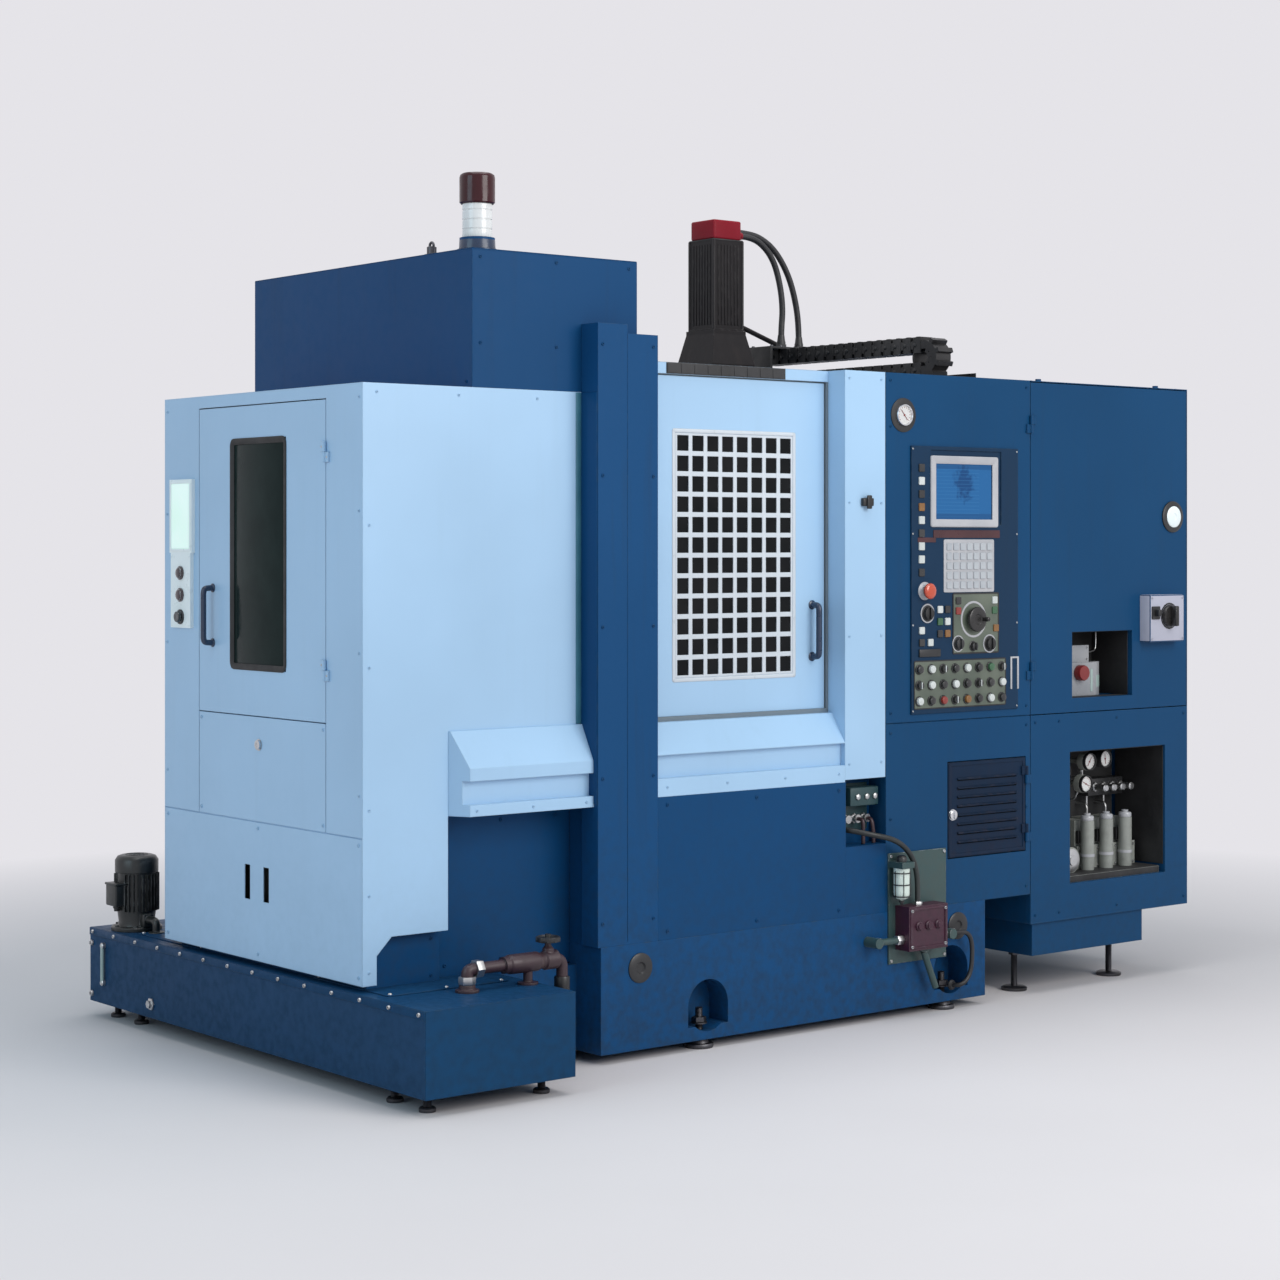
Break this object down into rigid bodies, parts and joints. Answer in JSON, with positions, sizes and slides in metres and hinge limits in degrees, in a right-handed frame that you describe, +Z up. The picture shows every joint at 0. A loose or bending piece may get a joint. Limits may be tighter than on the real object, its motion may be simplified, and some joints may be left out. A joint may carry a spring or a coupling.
{
  "type": "cnc machining center",
  "caption": "Horizontal machining centre with a loading booth for swinging pallets, sliding side door, swing-out panels, control panel and rear cabinet.",
  "frame": {"origin": "on the floor, at the middle of the machine's outline seen from above", "axes": "+Z up, -Y out of the loading booth's door, +X towards the side with the sliding door and the control panel"},
  "size_m": [1.96, 3.538, 2.69],
  "materials": {
    "bed_paint": "dark blue machine paint, satin",
    "feet_steel": "blackened steel",
    "tank_paint": "dark blue paint, satin",
    "pump_paint": "black paint, semi-gloss",
    "pipe_paint": "dark red-brown paint on steel pipe",
    "light_paint": "light blue powder coat, semi-gloss",
    "navy_paint": null,
    "dark_pane": "smoked glossy pane in a black rubber frame",
    "handle_navy": "moulded, satin",
    "call_white": "pale moulded box",
    "button_dark": "near-black moulded button",
    "lamp_white": "opal plastic",
    "lamp_red": "dark red plastic lens",
    "inner_paint": "grey sheet metal, satin",
    "door_pane": "smoked polycarbonate",
    "grille_paint": "pale painted plate",
    "cabinet_paint": "mid-dark blue powder coat, satin",
    "panel_paint": "dark textured panel",
    "screen_glass": "lit blue display",
    "key_plastic": "pale moulded keys",
    "stop_red": "red mushroom head",
    "wheel_black": "black moulded hand wheel",
    "hydraulic_metal": "pale grey blocks and filters",
    "oiler_plastic": "grey moulded reservoir",
    "air_metal": "grey anodised fittings",
    "valve_red": "dark red paint",
    "bowl_white": "milky bowl",
    "hose_black": "black hose, matt",
    "rail_steel": "ground steel",
    "column_cast": "grey machine paint",
    "motor_black": "black paint, semi-gloss",
    "cap_red": "dark red moulded cap",
    "cable_black": "black jacket, matt",
    "spindle_steel": "ground steel",
    "table_steel": "ground table plate",
    "disc_alu": "machined aluminium",
    "chain_black": "black moulded links"
  },
  "bodies": {
    "frame": {"bed": "bed_paint", "machine_feet": "feet_steel", "coolant_tank": "tank_paint", "coolant_pump": "pump_paint", "coolant_pipe": "pipe_paint", "booth_shell": "light_paint", "front_panels": "light_paint", "call_panel": "call_white", "booth_side_shelf": "light_paint", "base_covers": "navy_paint", "roof_cover": "navy_paint", "lamp_ring": "lamp_white", "lamp_lens": "lamp_red", "pillar_cover": "navy_paint", "enclosure": "inner_paint", "door_shelf": "light_paint", "post_panel": "light_paint", "control_housing": "cabinet_paint", "control_panel": "panel_paint", "control_screen": "screen_glass", "control_keys": "key_plastic", "cabinet_shell": "cabinet_paint", "hydraulic_unit": "hydraulic_metal", "lubricator": "oiler_plastic", "air_unit": "air_metal", "air_valve": "valve_red", "air_bowl": "bowl_white", "air_hose": "hose_black", "guide_rails": "rail_steel", "magazine_cover": "cabinet_paint", "cable_chain": "chain_black"},
    "booth_door_body": {"booth_door": "light_paint", "booth_door_window": "dark_pane", "booth_door_handle": "handle_navy"},
    "call_button_body": {"call_button": "button_dark"},
    "side_door_body": {"side_door": "light_paint", "side_door_window": "door_pane", "side_door_grille": "grille_paint", "side_door_handle": "handle_navy"},
    "emergency_stop_body": {"emergency_stop": "stop_red"},
    "hand_wheel_body": {"hand_wheel": "wheel_black"},
    "louvre_door_body": {"louvre_door": "cabinet_paint"},
    "power_door_body": {"power_door": "cabinet_paint"},
    "main_switch_body": {"main_switch_knob": "wheel_black"},
    "column_body": {"column": "column_cast", "head_motor": "motor_black", "motor_cap": "cap_red", "motor_cable_upper": "cable_black", "motor_cable_lower": "cable_black"},
    "head_body": {"spindle_head": "column_cast"},
    "spindle_body": {"spindle": "spindle_steel"},
    "lead_screw_body": {"lead_screw": "spindle_steel"},
    "saddle_body": {"table_saddle": "column_cast"},
    "table_body": {"rotary_table": "table_steel"},
    "changer_shaft_body": {"changer_shaft": "spindle_steel"},
    "changer_arm_body": {"changer_arm": "column_cast", "pallets": "table_steel"},
    "magazine_body": {"magazine_disc": "disc_alu", "tool_holders": "spindle_steel"},
    "change_arm_body": {"change_arm": "disc_alu"}
  },
  "joints": [
    {"name": "booth_door_hinge", "type": "hinge", "parent": "frame", "child": "booth_door_body", "pos_m": [0.4465, -1.733, 1.2], "axis": [0, 0, 1], "range_deg": [0, 110]},
    {"name": "call_button_push", "type": "slide", "parent": "frame", "child": "call_button_body", "axis": [0, 1, 0], "range_m": [0, 0.005], "stiffness_N_per_m": 400},
    {"name": "side_door_slide", "type": "slide", "parent": "frame", "child": "side_door_body", "axis": [0, -1, 0], "range_m": [0, 0.6]},
    {"name": "emergency_stop_push", "type": "slide", "parent": "frame", "child": "emergency_stop_body", "axis": [-1, 0, 0], "range_m": [0, 0.006]},
    {"name": "hand_wheel_turn", "type": "hinge", "parent": "frame", "child": "hand_wheel_body", "pos_m": [0.74, 0.629, 1.295], "axis": [1, 0, 0], "continuous": true},
    {"name": "louvre_door_hinge", "type": "hinge", "parent": "frame", "child": "louvre_door_body", "pos_m": [0.726, 0.8905, 0.66], "axis": [0, 0, 1], "range_deg": [0, 110]},
    {"name": "power_door_hinge", "type": "hinge", "parent": "frame", "child": "power_door_body", "pos_m": [0.726, 0.9155, 1.5], "axis": [0, 0, -1], "range_deg": [0, 110]},
    {"name": "main_switch_turn", "type": "hinge", "parent": "power_door_body", "child": "main_switch_body", "pos_m": [0.766, 1.59, 1.29], "axis": [1, 0, 0], "range_deg": [0, 90]},
    {"name": "column_slide", "type": "slide", "parent": "frame", "child": "column_body", "axis": [1, 0, 0], "range_m": [0, 0.56]},
    {"name": "head_slide", "type": "slide", "parent": "column_body", "child": "head_body", "axis": [0, 0, -1], "range_m": [0, 0.56]},
    {"name": "spindle_turn", "type": "hinge", "parent": "head_body", "child": "spindle_body", "pos_m": [-0.213, -0.06, 1.62], "axis": [0, 1, 0], "continuous": true},
    {"name": "lead_screw_turn", "type": "hinge", "parent": "column_body", "child": "lead_screw_body", "pos_m": [-0.213, 0.3, 1.35], "axis": [0, 0, 1], "continuous": true},
    {"name": "saddle_slide", "type": "slide", "parent": "frame", "child": "saddle_body", "axis": [0, 1, 0], "range_m": [0, 0.49]},
    {"name": "table_turn", "type": "hinge", "parent": "saddle_body", "child": "table_body", "pos_m": [0.067, -0.7, 0.9], "axis": [0, 0, 1], "continuous": true},
    {"name": "changer_lift", "type": "slide", "parent": "frame", "child": "changer_shaft_body", "axis": [0, 0, -1], "range_m": [0, 0.06]},
    {"name": "changer_swing", "type": "hinge", "parent": "changer_shaft_body", "child": "changer_arm_body", "pos_m": [0.067, -1, 0.94], "axis": [0, 0, 1], "range_deg": [0, 180]},
    {"name": "magazine_turn", "type": "hinge", "parent": "frame", "child": "magazine_body", "pos_m": [-0.78, 0.29, 1.25], "axis": [1, 0, 0], "continuous": true},
    {"name": "change_arm_turn", "type": "hinge", "parent": "frame", "child": "change_arm_body", "pos_m": [-0.5, -0.098, 1.62], "axis": [0, 1, 0], "range_deg": [0, 180]}
  ],
  "couplings": [
    {"joint": "lead_screw_turn", "follows": "head_slide", "rad_per_m": 314.16}
  ]
}
